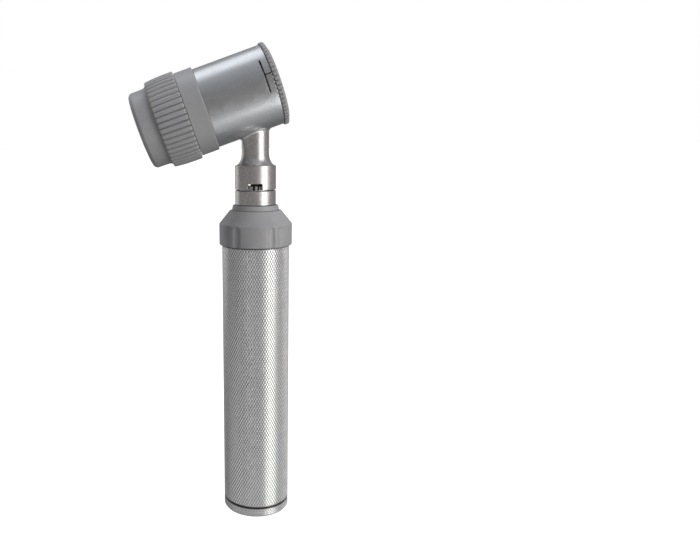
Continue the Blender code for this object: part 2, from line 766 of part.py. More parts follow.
def contact_cap():
    nose_round = [
        (NOSE_R - NOSE_ROUND * (1 - cos(turn)), NOSE_FRONT + NOSE_ROUND * (1 - sin(turn)))
        for turn in (pi / 2 * step / 2 for step in range(3))
    ]
    cap = turned("contact_cap", [
        (CAP_BORE_R, CAP_REAR),
        *rib_crest(),
        (NOSE_ROOT_R, NOSE_ROOT),
        *nose_round,
        (GLASS_SEAT_R, NOSE_FRONT),
        (GLASS_SEAT_R, GLASS_SHOULDER),
        (CAP_NECK_R, GLASS_SHOULDER),
        (CAP_NECK_R, CAP_NECK_REAR),
        (CAP_BORE_R, CAP_BORE_FRONT),
    ], (GREY, 0.45, 0.0), head_axis, 2 * RIB_COUNT)
    serrate(cap, RIB_COUNT, RIB_DEPTH, RIB_FRONT - EDGE, CAP_REAR + EDGE, RIB_FRONT_R - EDGE)
    shade_smooth(cap)
    turned("contact_glass", [
        (0, GLASS_REAR),
        (GLASS_R, GLASS_REAR),
        (GLASS_R, GLASS_FRONT),
        (0, GLASS_FRONT),
    ], (GLASS, 0.02, 0.0), head_axis)
    gasket_front = GLASS_REAR + GAP
    turned("glass_gasket", ring_outline(GASKET_IN_R, GLASS_R, gasket_front, gasket_front + GASKET_THICKNESS),
           (BLACK, 0.6, 0.0), head_axis, SMALL_STEPS)
    torus("cap_seal", CAP_SEAL_R, CAP_SEAL_WIRE_R, CAP_SEAL_AT, (BLACK, 0.6, 0.0), head_axis)


def focus():
    ring = turned("focus_ring", [
        (FOCUS_EYE_R, FOCUS_REAR),
        (FOCUS_CROWN_R, FOCUS_REAR),
        (FOCUS_R, FOCUS_REAR - 4 * EDGE),
        (FOCUS_R, FOCUS_FRONT),
        (FOCUS_SLEEVE_R, FOCUS_FRONT),
        (FOCUS_SLEEVE_R, FOCUS_SLEEVE_FRONT),
        (FOCUS_SLEEVE_BORE_R, FOCUS_SLEEVE_FRONT),
        (FOCUS_SLEEVE_BORE_R, FOCUS_REAR - FOCUS_EYE_DEPTH),
        (FOCUS_EYE_R, FOCUS_REAR - FOCUS_EYE_DEPTH),
    ], (GREY, 0.45, 0.0), head_axis, 2 * RIB_COUNT)
    serrate(ring, RIB_COUNT, FOCUS_TOOTH_DEPTH, FOCUS_FRONT - EDGE, FOCUS_REAR - EDGE, FOCUS_R - 2 * EDGE)
    shade_smooth(ring)
    turned("lens_cell", [
        (LENS_CELL_LIP_R, LENS_CELL_REAR),
        (LENS_CELL_R, LENS_CELL_REAR),
        (LENS_CELL_R, LENS_CELL_FRONT),
        (LENS_CELL_BORE_R, LENS_CELL_FRONT),
        (LENS_CELL_BORE_R, LENS_CELL_LIP),
        (LENS_CELL_LIP_R, LENS_CELL_LIP),
    ], (BLACK, 0.6, 0.0), head_axis, SMALL_STEPS)
    clear_r = LENS_CELL_LIP_R - GAP
    turned("eyepiece_lens", [
        (0, LENS_EDGE_REAR + LENS_SAG),
        (clear_r / 2, LENS_EDGE_REAR + LENS_SAG * 3 / 4),
        (clear_r, LENS_EDGE_REAR),
        (LENS_R, LENS_EDGE_REAR),
        (LENS_R, LENS_EDGE_FRONT),
        (0, LENS_EDGE_FRONT),
    ], (GLASS, 0.02, 0.0), head_axis, SMALL_STEPS)
    turned("lens_retainer", ring_outline(RETAINER_IN_R, LENS_R, RETAINER_FRONT, RETAINER_REAR),
           (BLACK, 0.6, 0.0), head_axis, SMALL_STEPS)


handle_tube()
end_cap()
cell("battery_lower", LOWER_CELL_Z)
cell("battery_upper", UPPER_CELL_Z)
handle_insert()
dimmer()
bayonet()
head_neck()
lamp()
head_tube()
light_path()
front_collar()
contact_cap()
focus()
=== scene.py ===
"""Looks of the hand-held skin magnifier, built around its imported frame.

Turned pieces are drawn as outlines of (radius, height, edge rounding) in millimetres. Those of
the handle stand on its axis; those of the head are turned upright and then laid on the head's
axis, where a height is the distance along it, from the contact plate towards the eyepiece.
"""

import json
from math import atan2, cos, hypot, pi, radians, sin, sqrt

import bpy
from mathutils import Matrix, Vector


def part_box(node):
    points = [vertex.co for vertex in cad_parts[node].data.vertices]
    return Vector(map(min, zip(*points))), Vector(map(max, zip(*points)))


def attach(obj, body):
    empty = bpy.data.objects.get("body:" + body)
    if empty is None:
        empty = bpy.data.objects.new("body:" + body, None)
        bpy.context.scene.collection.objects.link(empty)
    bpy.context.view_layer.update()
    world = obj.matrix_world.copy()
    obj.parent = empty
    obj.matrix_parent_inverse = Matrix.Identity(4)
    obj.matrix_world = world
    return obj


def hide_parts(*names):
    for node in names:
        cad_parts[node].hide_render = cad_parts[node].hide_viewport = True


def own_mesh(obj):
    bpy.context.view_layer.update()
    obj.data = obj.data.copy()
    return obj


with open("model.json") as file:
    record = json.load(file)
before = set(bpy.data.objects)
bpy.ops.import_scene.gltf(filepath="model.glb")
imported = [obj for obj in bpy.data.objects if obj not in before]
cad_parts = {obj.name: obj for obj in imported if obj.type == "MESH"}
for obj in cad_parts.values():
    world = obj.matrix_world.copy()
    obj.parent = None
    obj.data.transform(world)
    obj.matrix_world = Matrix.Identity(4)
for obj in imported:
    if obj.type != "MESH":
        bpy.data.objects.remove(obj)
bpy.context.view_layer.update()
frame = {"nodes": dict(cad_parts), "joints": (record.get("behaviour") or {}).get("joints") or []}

MM = 0.001
TURN = 2 * pi
MERGE_DISTANCE = 0.001 * MM
JOINTS = {joint["name"]: joint for joint in frame["joints"]}

# The head's axis, read from its focusing joint, and its crossing with the handle's axis
HEAD_AXIS = Vector(JOINTS["focus_turn"]["axis"]).normalized()
HEAD_POINT = Vector(JOINTS["focus_turn"]["pos_m"])
HEAD_TILT = atan2(HEAD_AXIS.z, HEAD_AXIS.x)
HEAD_CROSSING = HEAD_POINT - HEAD_AXIS * (HEAD_POINT.x / HEAD_AXIS.x)
HEAD_PLACE = Matrix.Translation(HEAD_CROSSING) @ Matrix.Rotation(pi / 2 - HEAD_TILT, 4, "Y")


def top_of(node):
    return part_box(node)[1].z / MM


def foot_of(node):
    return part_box(node)[0].z / MM


def radius_of(node):
    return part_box(node)[1].y / MM


# ---------------------------------------------------------------- modelling by hand

def start_clean():
    if bpy.context.object and bpy.context.object.mode != "OBJECT":
        bpy.ops.object.mode_set(mode="OBJECT")
    bpy.ops.object.select_all(action="DESELECT")


def hold(piece):
    """Selects one piece alone, in object mode, and makes it the active one."""
    start_clean()
    piece.select_set(True)
    bpy.context.view_layer.objects.active = piece


def edit(piece):
    hold(piece)
    bpy.ops.object.mode_set(mode="EDIT")


def leave_edit():
    bpy.ops.object.mode_set(mode="OBJECT")


def select_by(kind):
    bpy.context.tool_settings.mesh_select_mode = (kind == "VERT", kind == "EDGE", kind == "FACE")


def edit_whole(piece, kind):
    """Opens the mesh for editing with all of it selected, by its vertices or by its faces."""
    edit(piece)
    select_by(kind)
    bpy.ops.mesh.select_all(action="SELECT")


def pick(piece, kind, rule):
    """Selects the vertices, edges or faces that pass the rule, and opens the mesh for editing."""
    start_clean()
    mesh = piece.data
    elements = {"VERT": mesh.vertices, "EDGE": mesh.edges, "FACE": mesh.polygons}
    for items in elements.values():
        items.foreach_set("select", [False] * len(items))
    chosen = elements[kind]
    chosen.foreach_set("select", [bool(rule(item)) for item in chosen])
    select_by(kind)
    edit(piece)


def open_edges(piece):
    """Keys of the edges that only one face uses."""
    used = {}
    for face in piece.data.polygons:
        for key in face.edge_keys:
            used[key] = used.get(key, 0) + 1
    return {key for key, count in used.items() if count == 1}


def merge_all(piece):
    edit(piece)
    bpy.ops.mesh.select_all(action="SELECT")
    bpy.ops.mesh.remove_doubles(threshold=MERGE_DISTANCE)


def face_outwards(piece):
    merge_all(piece)
    bpy.ops.mesh.normals_make_consistent(inside=False)
    leave_edit()


def apply_modifier(piece, kind, **settings):
    hold(piece)
    modifier = piece.modifiers.new(kind.title(), kind)
    for key, value in settings.items():
        setattr(modifier, key, value)
    bpy.ops.object.modifier_apply(modifier=modifier.name)


def bevel_corners(piece, width, sharper_than):
    """Breaks the edges that turn by more than this many degrees."""
    apply_modifier(piece, "BEVEL", width=width * MM, segments=2, limit_method="ANGLE",
                   angle_limit=radians(sharper_than))


def settle(piece, move=None):
    """Moves a piece by a matrix and applies its place, so that its object stays at the origin."""
    hold(piece)
    if move is not None:
        piece.matrix_world = move @ piece.matrix_world
    bpy.ops.object.transform_apply(location=True, rotation=True, scale=True)


def rounded(outline, cuts=4):
    """The (radius, height) points of an outline whose corners are rounded by their third number."""
    points = []
    count = len(outline)
    ring = outline[0][0] > 0
    for index, (radius, height, *rounding) in enumerate(outline):
        here = Vector((radius, height))
        if not rounding or not ring and index in (0, count - 1):
            points.append(here)
            continue
        before = (Vector(outline[index - 1][:2]) - here).normalized()
        after = (Vector(outline[(index + 1) % count][:2]) - here).normalized()
        away = (before + after).normalized()
        centre = here + away * rounding[0] / before.dot(away)
        first = here + before * rounding[0] - centre
        last = here + after * rounding[0] - centre
        points += [centre + first.slerp(last, step / cuts) * first.length for step in range(cuts + 1)]
    return points


def spaced(start, end, step):
    """Points from start to just before end, no further apart than step."""
    start, end = Vector(start), Vector(end)
    count = max(1, round((end - start).length / step))
    return [tuple(start.lerp(end, index / count)) for index in range(count)]


def draw_outline(name, points):
    """Draws (radius, height) points as one line with extrude; it stays open for editing, all selected."""
    start_clean()
    bpy.ops.mesh.primitive_plane_add(size=MM, location=(0, 0, 0))
    piece = bpy.context.object
    piece.name = name
    edit_whole(piece, "VERT")
    bpy.ops.mesh.merge(type="CENTER")
    bpy.ops.transform.translate(value=(points[0].x * MM, 0, points[0].y * MM))
    for here, there in zip(points, points[1:]):
        step = (there - here) * MM
        bpy.ops.mesh.extrude_region_move(TRANSFORM_OT_translate={"value": (step.x, 0, step.y)})
    bpy.ops.mesh.select_all(action="SELECT")
    return piece


def spin_selected(steps, angle=TURN):
    bpy.ops.mesh.spin(steps=steps, angle=angle, center=(0, 0, 0), axis=(0, 0, 1))


def lathe(name, outline, steps=160):
    """Draws an outline, closed unless it starts on the axis, and spins it about Z."""
    points = rounded(outline)
    if points[0].x > 0:
        points.append(points[0])
    piece = draw_outline(name, points)
    bpy.ops.mesh.remove_doubles(threshold=MERGE_DISTANCE)
    bpy.ops.mesh.select_all(action="SELECT")
    spin_selected(steps)
    face_outwards(piece)
    return piece


def finish_piece(piece, body, finish, stands_for=(), smooth=radians(35), weighted=True):
    """Shades a finished mesh, gives it its finish, and ties it to its body."""
    hold(piece)
    bpy.ops.object.shade_smooth_by_angle(angle=smooth)
    if weighted:
        apply_modifier(piece, "WEIGHTED_NORMAL", keep_sharp=True)
    piece.data.materials.clear()
    piece.data.materials.append(finish)
    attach(piece, body)
    if stands_for:
        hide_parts(*stands_for)
    return piece


def clamped(*measures):
    return max(0.0, min(1.0, *measures))


def reshape(piece, rule):
    """Moves every vertex to the place that rule(angle, radius, height) gives, in millimetres."""
    for vertex in piece.data.vertices:
        angle = atan2(vertex.co.y, vertex.co.x)
        radius = hypot(vertex.co.x, vertex.co.y) / MM
        if radius < 0.01:
            continue
        radius, height = rule(angle, radius, vertex.co.z / MM)
        vertex.co = (radius * MM * cos(angle), radius * MM * sin(angle), height * MM)


# ---------------------------------------------------------------- finishes

def colour(code):
    """An sRGB hex colour as linear RGBA."""
    channels = [int(code[place:place + 2], 16) / 255 for place in (1, 3, 5)]
    linear = [c / 12.92 if c <= 0.04045 else ((c + 0.055) / 1.055) ** 2.4 for c in channels]
    return (*linear, 1)


def add(tree, kind, inputs=None, **settings):
    """Adds a node with its settings; an input is given a value, or a socket to link."""
    node = tree.nodes.new(kind)
    for key, value in settings.items():
        setattr(node, key, value)
    for key, value in (inputs or {}).items():
        if isinstance(value, bpy.types.NodeSocket):
            tree.links.new(value, node.inputs[key])
        else:
            node.inputs[key].default_value = value
    return node


def share_of(tree, source, start, end, low=0.0, high=1.0):
    """Goes from low to high as the source goes from start to end."""
    return add(tree, "ShaderNodeMapRange", {
        "Value": source, "From Min": start, "From Max": end, "To Min": low, "To Max": high,
    }).outputs["Result"]


def compute(tree, operation, *values):
    return add(tree, "ShaderNodeMath", dict(enumerate(values)), operation=operation).outputs["Value"]


def new_finish(name, base, roughness, metallic=0.0, **sockets):
    """A finish with its uniform values on the shader's own sockets."""
    material = bpy.data.materials.new(name)
    material.use_nodes = True
    tree = material.node_tree
    shader = tree.nodes["Principled BSDF"]
    shader.inputs["Base Color"].default_value = colour(base)
    shader.inputs["Roughness"].default_value = roughness
    shader.inputs["Metallic"].default_value = metallic
    for key, value in sockets.items():
        shader.inputs[key.replace("_", " ")].default_value = value
    place = add(tree, "ShaderNodeTexCoord").outputs["Object"]
    return material, tree, shader, place


def grain(tree, place, size, detail=3.0, roughness=0.5):
    """Noise whose features are about size millimetres across."""
    return add(tree, "ShaderNodeTexNoise", {
        "Vector": place, "Scale": 1 / (size * MM), "Detail": detail, "Roughness": roughness,
    }).outputs["Fac"]


def tint(tree, shader, source, low, high, span=(0.35, 0.65)):
    """Colours the base between two hex colours as the source goes through span."""
    ramp = add(tree, "ShaderNodeValToRGB", {"Fac": source})
    ramp.color_ramp.elements[0].position, ramp.color_ramp.elements[1].position = span
    ramp.color_ramp.elements[0].color = colour(low)
    ramp.color_ramp.elements[1].color = colour(high)
    tree.links.new(ramp.outputs["Color"], shader.inputs["Base Color"])


def vary_roughness(tree, shader, source, low, high, span=(0.3, 0.7)):
    """Takes the roughness from low to high as the source goes through span."""
    tree.links.new(share_of(tree, source, *span, low, high), shader.inputs["Roughness"])


def emboss(tree, shader, source, height, under=None):
    """Raises the surface by up to height millimetres where the source is high."""
    inputs = {"Height": source, "Distance": height * MM, "Strength": 1.0}
    if under:
        inputs["Normal"] = under
    normal = add(tree, "ShaderNodeBump", inputs).outputs["Normal"]
    tree.links.new(normal, shader.inputs["Normal"])
    return normal


def axis_distance(tree, place):
    """Distance from the handle's axis, in metres."""
    flat = add(tree, "ShaderNodeVectorMath", {0: place, 1: (1, 1, 0)}, operation="MULTIPLY")
    length = add(tree, "ShaderNodeVectorMath", {0: flat.outputs["Vector"]}, operation="LENGTH")
    return length.outputs["Value"]


def satin_chrome():
    """Brass, bead-blasted fine and chrome plated: bright, soft-edged reflections with a faint grain."""
    material, tree, shader, place = new_finish("satin_chrome_plate", "#C8C7C6", 0.35, 1.0)
    vary_roughness(tree, shader, grain(tree, place, 1.5), 0.32, 0.38)
    blast = grain(tree, place, 0.6, 2.0)
    tint(tree, shader, blast, "#BCBAB9", "#D5D3D2", (0.36, 0.64))
    emboss(tree, shader, blast, 0.008)
    return material


HANDLE_R = radius_of("handle_tube")
KNURL_DEPTH = 0.14
GROOVE_R = HANDLE_R - KNURL_DEPTH


def knurled_chrome():
    """Diamond-knurled brass, satin chrome plated: painted shade darkens the grooves, and the crests are
    painted lightest.
    """
    material, tree, shader, place = new_finish("knurled_satin_chrome", "#C6C6C6", 0.42, 1.0)
    height = share_of(tree, axis_distance(tree, place), GROOVE_R * MM, HANDLE_R * MM)
    # Painted shade: the base goes from dark in the grooves to light on the crests by the knurl's depth,
    # with a few random patches
    groove_shade_mask = compute(tree, "MULTIPLY_ADD", grain(tree, place, 3.0), 0.25, height)
    tint(tree, shader, groove_shade_mask, "#403F40", "#F4F4F4", (0.3, 0.92))
    vary_roughness(tree, shader, groove_shade_mask, 0.75, 0.36, (0.5, 1.0))
    emboss(tree, shader, grain(tree, place, 0.12, 2.0), 0.004)
    return material


def silver_lacquer():
    """Aluminium-flake lacquer, sprayed and baked: a soft metal sheen under slight orange peel."""
    material, tree, shader, place = new_finish(
        "sprayed_silver_lacquer", "#B7B8BA", 0.33, 0.9, Coat_Weight=0.25, Coat_Roughness=0.22)
    flake = grain(tree, place, 0.12, 1.0)
    tint(tree, shader, flake, "#A9AAAC", "#CACBCC", (0.3, 0.7))
    vary_roughness(tree, shader, grain(tree, place, 2.5), 0.28, 0.37)
    fine = emboss(tree, shader, flake, 0.003)
    emboss(tree, shader, grain(tree, place, 0.8, 2.0), 0.028, fine)
    return material


def grey_abs():
    """ABS, injection moulded in a fine spark-eroded mould: an even, slightly soft grey."""
    material, tree, shader, place = new_finish("moulded_grey_abs", "#ADADAE", 0.42, IOR=1.53)
    cloud = grain(tree, place, 6.0)
    tint(tree, shader, cloud, "#AAAAAC", "#B1B0B1")
    vary_roughness(tree, shader, grain(tree, place, 1.5), 0.38, 0.48)
    emboss(tree, shader, grain(tree, place, 0.18, 2.0), 0.008)
    return material


def anodised_black():
    """Aluminium, fine turned and black anodised: a dull black with faint rings."""
    material, tree, shader, place = new_finish("black_anodised_aluminium", "#17171A", 0.45, 0.35)
    vary_roughness(tree, shader, grain(tree, place, 0.8), 0.38, 0.55)
    emboss(tree, shader, grain(tree, place, 0.1, 2.0), 0.004)
    return material


def black_acetal():
    """Acetal, turned from black rod: waxy black with fine tool marks across its length."""
    material, tree, shader, place = new_finish("turned_black_acetal", "#101112", 0.38, IOR=1.48)
    marks = add(tree, "ShaderNodeTexWave", {
        "Vector": place, "Scale": 1 / (0.35 * MM) / TURN, "Distortion": 0.6, "Detail": 1.0,
    }, bands_direction="Z").outputs["Fac"]
    vary_roughness(tree, shader, marks, 0.3, 0.5, (0.0, 1.0))
    emboss(tree, shader, marks, 0.006)
    return material


def nitrile_rubber():
    """Nitrile rubber O-ring, moulded: matt black with a trace of bloom."""
    material, tree, shader, place = new_finish("moulded_nitrile_rubber", "#161616", 0.6, IOR=1.52)
    tint(tree, shader, grain(tree, place, 1.5), "#131313", "#222222")
    emboss(tree, shader, grain(tree, place, 0.15, 2.0), 0.006)
    return material


def nickel_steel():
    """Steel, drawn or turned and nickel plated: warm, fairly bright, with a fine drawn grain."""
    material, tree, shader, place = new_finish("nickel_plated_steel", "#B9B4AA", 0.28, 1.0)
    tint(tree, shader, grain(tree, place, 1.2), "#ADA89E", "#C4C0B7")
    vary_roughness(tree, shader, grain(tree, place, 0.3), 0.22, 0.36)
    emboss(tree, shader, grain(tree, place, 0.15, 2.0), 0.004)
    return material


def contact_brass():
    """Brass, turned and left bare for electrical contact: yellow, with light tarnish."""
    material, tree, shader, place = new_finish("turned_contact_brass", "#C9A55A", 0.26, 1.0)
    tint(tree, shader, grain(tree, place, 0.9), "#B8924A", "#D2B069")
    vary_roughness(tree, shader, grain(tree, place, 0.5), 0.2, 0.38)
    emboss(tree, shader, grain(tree, place, 0.1, 2.0), 0.003)
    return material


def turned_aluminium():
    """Aluminium, turned on the lathe: fine rings spaced by the tool's feed."""
    material, tree, shader, place = new_finish("turned_aluminium", "#BFC0C0", 0.32, 1.0)
    feed = add(tree, "ShaderNodeTexWave", {
        "Vector": place, "Scale": 1 / (0.25 * MM) / TURN, "Distortion": 0.3,
    }, bands_direction="Z").outputs["Fac"]
    vary_roughness(tree, shader, feed, 0.26, 0.4, (0.0, 1.0))
    emboss(tree, shader, feed, 0.004)
    return material


def phenolic_board():
    """Phenolic resin board, pressed and punched: dark brown with a paper fleck."""
    material, tree, shader, place = new_finish("phenolic_board", "#3A2618", 0.5, IOR=1.58)
    tint(tree, shader, grain(tree, place, 0.5), "#2E1D12", "#4A3220")
    emboss(tree, shader, grain(tree, place, 0.3), 0.01)
    return material


def cell_sleeve():
    """Steel cell can in a shrunk PVC sleeve: glossy charcoal with a copper-coloured band at its top."""
    material, tree, shader, place = new_finish(
        "shrunk_cell_sleeve", "#23262B", 0.25, 0.2, Coat_Weight=0.6, Coat_Roughness=0.08)
    height = add(tree, "ShaderNodeSeparateXYZ", {"Vector": place}).outputs["Z"]
    pitch = (foot_of("battery_upper") - foot_of("battery_lower")) * MM
    rise = compute(tree, "ADD", height, -foot_of("battery_lower") * MM)
    band = compute(tree, "GREATER_THAN", compute(tree, "MODULO", rise, pitch), 0.72 * pitch)
    tint(tree, shader, band, "#23262B", "#B0713F", (0.45, 0.55))
    vary_roughness(tree, shader, grain(tree, place, 3.0), 0.2, 0.32)
    emboss(tree, shader, grain(tree, place, 2.0), 0.01)
    return material


def front_mirror():
    """Float glass, silvered on its front: a near-perfect reflection with a few dust specks."""
    material, tree, shader, place = new_finish("front_silvered_mirror", "#E6E8E8", 0.03, 1.0)
    vary_roughness(tree, shader, grain(tree, place, 0.4, 4.0), 0.02, 0.12, (0.6, 0.8))
    emboss(tree, shader, grain(tree, place, 2.0, 1.0), 0.0005)
    return material


def optical_glass(name, base, ior, smear, clear=1.0):
    """Ground and polished glass; smear is the greatest roughness of its finger marks."""
    material, tree, shader, place = new_finish(name, base, 0.0, 0.0, IOR=ior, Transmission_Weight=clear)
    vary_roughness(tree, shader, grain(tree, place, 5.0, 4.0), 0.0, smear, (0.45, 0.75))
    emboss(tree, shader, grain(tree, place, 8.0, 0.0), 0.0004)
    return material


def scale_ink():
    """Black enamel ink, fired into the glass: thin, with slightly uneven cover."""
    material, tree, shader, place = new_finish("fired_black_ink", "#1E1E1C", 0.5)
    tint(tree, shader, grain(tree, place, 0.12), "#151513", "#33332F")
    emboss(tree, shader, grain(tree, place, 0.08), 0.002)
    return material


SATIN_CHROME = satin_chrome()
KNURLED_CHROME = knurled_chrome()
SILVER_LACQUER = silver_lacquer()
GREY_ABS = grey_abs()
ANODISED = anodised_black()
ACETAL = black_acetal()
RUBBER = nitrile_rubber()
NICKEL = nickel_steel()
BRASS = contact_brass()
TURNED_ALUMINIUM = turned_aluminium()
PHENOLIC = phenolic_board()
CELL_SLEEVE = cell_sleeve()
MIRROR = front_mirror()
CONTACT_GLASS = optical_glass("polished_contact_glass", "#F3F5F0", 1.52, 0.06, 0.3)
LENS_GLASS = optical_glass("coated_lens_glass", "#EEF3F4", 1.6, 0.02)
LAMP_GLASS = optical_glass("blown_lamp_glass", "#F1F2F0", 1.47, 0.04)
INK = scale_ink()

INNER_FINISHES = {
    RUBBER: ("glass_gasket",),
    NICKEL: ("spring_plate", "battery_spring", "dimmer_stop_pin", "lamp_base"),
    CELL_SLEEVE: ("battery_lower", "battery_upper"),
    TURNED_ALUMINIUM: ("handle_top_insert",),
    ACETAL: ("contact_insulator", "socket_insulator"),
    BRASS: ("conductor_rod", "rheostat_wiper", "center_contact_pin", "lamp_contact"),
    PHENOLIC: ("rheostat_track",),
    LAMP_GLASS: ("lamp_bulb",),
    MIRROR: ("deflector_mirror",),
    ANODISED: ("mirror_bracket",),
}
for inner_finish, node_names in INNER_FINISHES.items():
    for node_name in node_names:
        materials = frame["nodes"][node_name].data.materials
        materials.clear()
        materials.append(inner_finish)


# ---------------------------------------------------------------- knurled tube and end cap

HANDLE_BORE_R = 13.3
TUBE_FOOT = foot_of("handle_tube")
TUBE_TOP = top_of("handle_tube") + 0.15
KNURL_STARTS = 78
KNURL_ROWS = 55
CAP_KNURL_STARTS = 72
CAP_KNURL_ROWS = 2
FLAT_INSET = 0.17
EDGE = 0.3
CAP_FOOT = 0.55
CAP_FLOOR = 1.8
PLUG_LENGTH = 5.1
PLUG_R, THREAD_ROOT_R, SEAL_GROOVE_R, PLUG_BORE_R = 12.95, 12.6, 12.1, 11.4
THREAD_PITCH = 1.5
NEAR_AXIS = 0.02


def knurled_band(name, bottom, top, starts, rows):
    """Diamonds between two crossing sets of grooves, each raised from its own face."""
    start_clean()
    bpy.ops.mesh.primitive_cylinder_add(
        vertices=starts, radius=GROOVE_R * MM, depth=(top - bottom) * MM,
        end_fill_type="NOTHING", location=(0, 0, (bottom + top) / 2 * MM))
    piece = bpy.context.object
    piece.name = name
    settle(piece)
    corners = piece.data.vertices

    def upright(edge):
        first, last = (corners[index].co for index in edge.vertices)
        return abs(first.z - last.z) > 0.5 * MM

    pick(piece, "EDGE", upright)
    bpy.ops.mesh.subdivide(number_cuts=rows - 1)
    bpy.ops.mesh.select_all(action="SELECT")
    bpy.ops.mesh.poke()
    leave_edit()
    corners = piece.data.vertices
    low, high = (bottom + 0.01) * MM, (top - 0.01) * MM

    def squared(edge):
        first, last = (corners[index].co for index in edge.vertices)
        level = abs(first.z - last.z) < 0.01 * MM
        over = hypot(first.x - last.x, first.y - last.y) < 0.01 * MM
        return (level and low < first.z < high) or over

    pick(piece, "EDGE", squared)
    bpy.ops.mesh.dissolve_edges(use_verts=False)
    select_by("FACE")
    bpy.ops.mesh.select_all(action="SELECT")
    bpy.ops.mesh.inset(use_individual=True, thickness=FLAT_INSET * MM, depth=KNURL_DEPTH * MM)
    leave_edit()
    return piece


def draw_rings(piece, height, rings):
    """Extrudes the open edge at a height through (radius, height) rings."""
    def on_rim(vertex):
        return abs(vertex.co.z - height * MM) < 0.005 * MM and hypot(*vertex.co.xy) < HANDLE_R * MM

    rim = {vertex.index for vertex in piece.data.vertices if on_rim(vertex)}
    loose = open_edges(piece)
    pick(piece, "EDGE", lambda edge: edge.key in loose and rim.issuperset(edge.vertices))
    radius = GROOVE_R
    for next_radius, next_height in rings:
        rise = (0, 0, (next_height - height) * MM)
        bpy.ops.mesh.extrude_edges_move(TRANSFORM_OT_translate={"value": rise})
        share = next_radius / radius
        bpy.ops.transform.resize(value=(share, share, 1), center_override=(0, 0, next_height * MM))
        radius, height = next_radius, next_height
    leave_edit()


def plate_plain_faces(piece):
    """Gives the faces inside the knurl's grooves, such as bores, plugs and threads, the plain plate."""
    piece.data.materials.append(SATIN_CHROME)
    plain_r = (GROOVE_R - 0.03) * MM
    for face in piece.data.polygons:
        face.material_index = int(hypot(face.center.x, face.center.y) < plain_r)


def finish_knurled(piece, body, node):
    face_outwards(piece)
    finish_piece(piece, body, KNURLED_CHROME, [node],
                 smooth=radians(15), weighted=False)
    plate_plain_faces(piece)


def knurled_tube():
    low = TUBE_FOOT + EDGE
    high = TUBE_TOP - 0.2
    tube = knurled_band("knurled_tube", low, high, KNURL_STARTS, KNURL_ROWS)
    draw_rings(tube, high, [
        (HANDLE_R - 0.35, TUBE_TOP), (HANDLE_BORE_R, TUBE_TOP),
        (HANDLE_BORE_R, TUBE_FOOT), (HANDLE_R - 0.5, TUBE_FOOT), (GROOVE_R, low),
    ])
    finish_knurled(tube, "handle", "handle_tube")


def knurled_cap():
    """Knurled cap and its hollow plug, with the seal's groove and the thread's crests as rings."""
    top = top_of("end_cap")
    low, high = CAP_FOOT, top - PLUG_LENGTH - EDGE
    cap = knurled_band("knurled_end_cap", low, high, CAP_KNURL_STARTS, CAP_KNURL_ROWS)
    seal = (top_of("end_cap_seal") + foot_of("end_cap_seal")) / 2
    seal_foot, seal_top = seal - 0.65, seal + 0.65
    rings = [
        (GROOVE_R, high + EDGE), (PLUG_R, high + EDGE),
        (PLUG_R, seal_foot), (SEAL_GROOVE_R, seal_foot), (SEAL_GROOVE_R, seal_top),
    ]
    thread = seal_top
    while thread + THREAD_PITCH < top + 0.3:
        rings += [
            (PLUG_R, thread + 0.3 * THREAD_PITCH), (PLUG_R, thread + 0.5 * THREAD_PITCH),
            (THREAD_ROOT_R, thread + 0.8 * THREAD_PITCH),
        ]
        thread += THREAD_PITCH
    rings += [(THREAD_ROOT_R, top), (PLUG_BORE_R, top), (PLUG_BORE_R, CAP_FLOOR), (NEAR_AXIS, CAP_FLOOR)]
    draw_rings(cap, high, rings)
    draw_rings(cap, low, [
        (HANDLE_R - 0.35, 0.2), (HANDLE_R - 0.6, 0), (HANDLE_R - 3, 0), (NEAR_AXIS, 0),
    ])
    finish_knurled(cap, "end_cap", "end_cap")


def o_ring(name, node, body, wire, on_head_at=None):
    """A moulded ring of round section, wire being its half thickness, as its CAD node sits."""
    low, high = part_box(node)
    centre = (high.z + low.z) / 2 / MM if on_head_at is None else on_head_at
    ring = high.y / MM - wire
    turns = [TURN * step / 16 for step in range(16)]
    piece = lathe(name, [(ring + wire * cos(turn), centre - wire * sin(turn)) for turn in turns], 96)
    if on_head_at is not None:
        settle(piece, HEAD_PLACE)
    finish_piece(piece, body, RUBBER, [node], smooth=radians(60))


# ---------------------------------------------------------------- dimmer collar

DIMMER_R = 15.1
DIMMER_FOOT = foot_of("dimmer_collar")
DIMMER_TOP = top_of("dimmer_collar")
SHOULDER_Z = 124.7
FLUTE_R = 3.0
FLUTE_DEPTH = 0.65
FLUTE_CENTRE_R = DIMMER_R + FLUTE_R - FLUTE_DEPTH
FLUTE_BALL_Z = 122.9
FLUTE_ANGLES = [
    radians(-90 + 29 + 72 * pair + side * 8.2) for pair in range(5) for side in (-1, 1)
]
FLUTE_SOFTNESS = 0.04
NO_FLUTE = 99.0


def flute_radius(angle, height):
    """Radius of the flutes' bowl at this place, or NO_FLUTE where none reaches."""
    rise = max(0.0, height - FLUTE_BALL_Z)
    if rise >= FLUTE_R:
        return NO_FLUTE
    reach = sqrt(FLUTE_R ** 2 - rise ** 2)
    nearest = min(abs((angle - flute + pi) % TURN - pi) for flute in FLUTE_ANGLES)
    aside = FLUTE_CENTRE_R * sin(nearest)
    if nearest > 0.5 or aside >= reach:
        return NO_FLUTE
    return FLUTE_CENTRE_R * cos(nearest) - sqrt(reach ** 2 - aside ** 2)


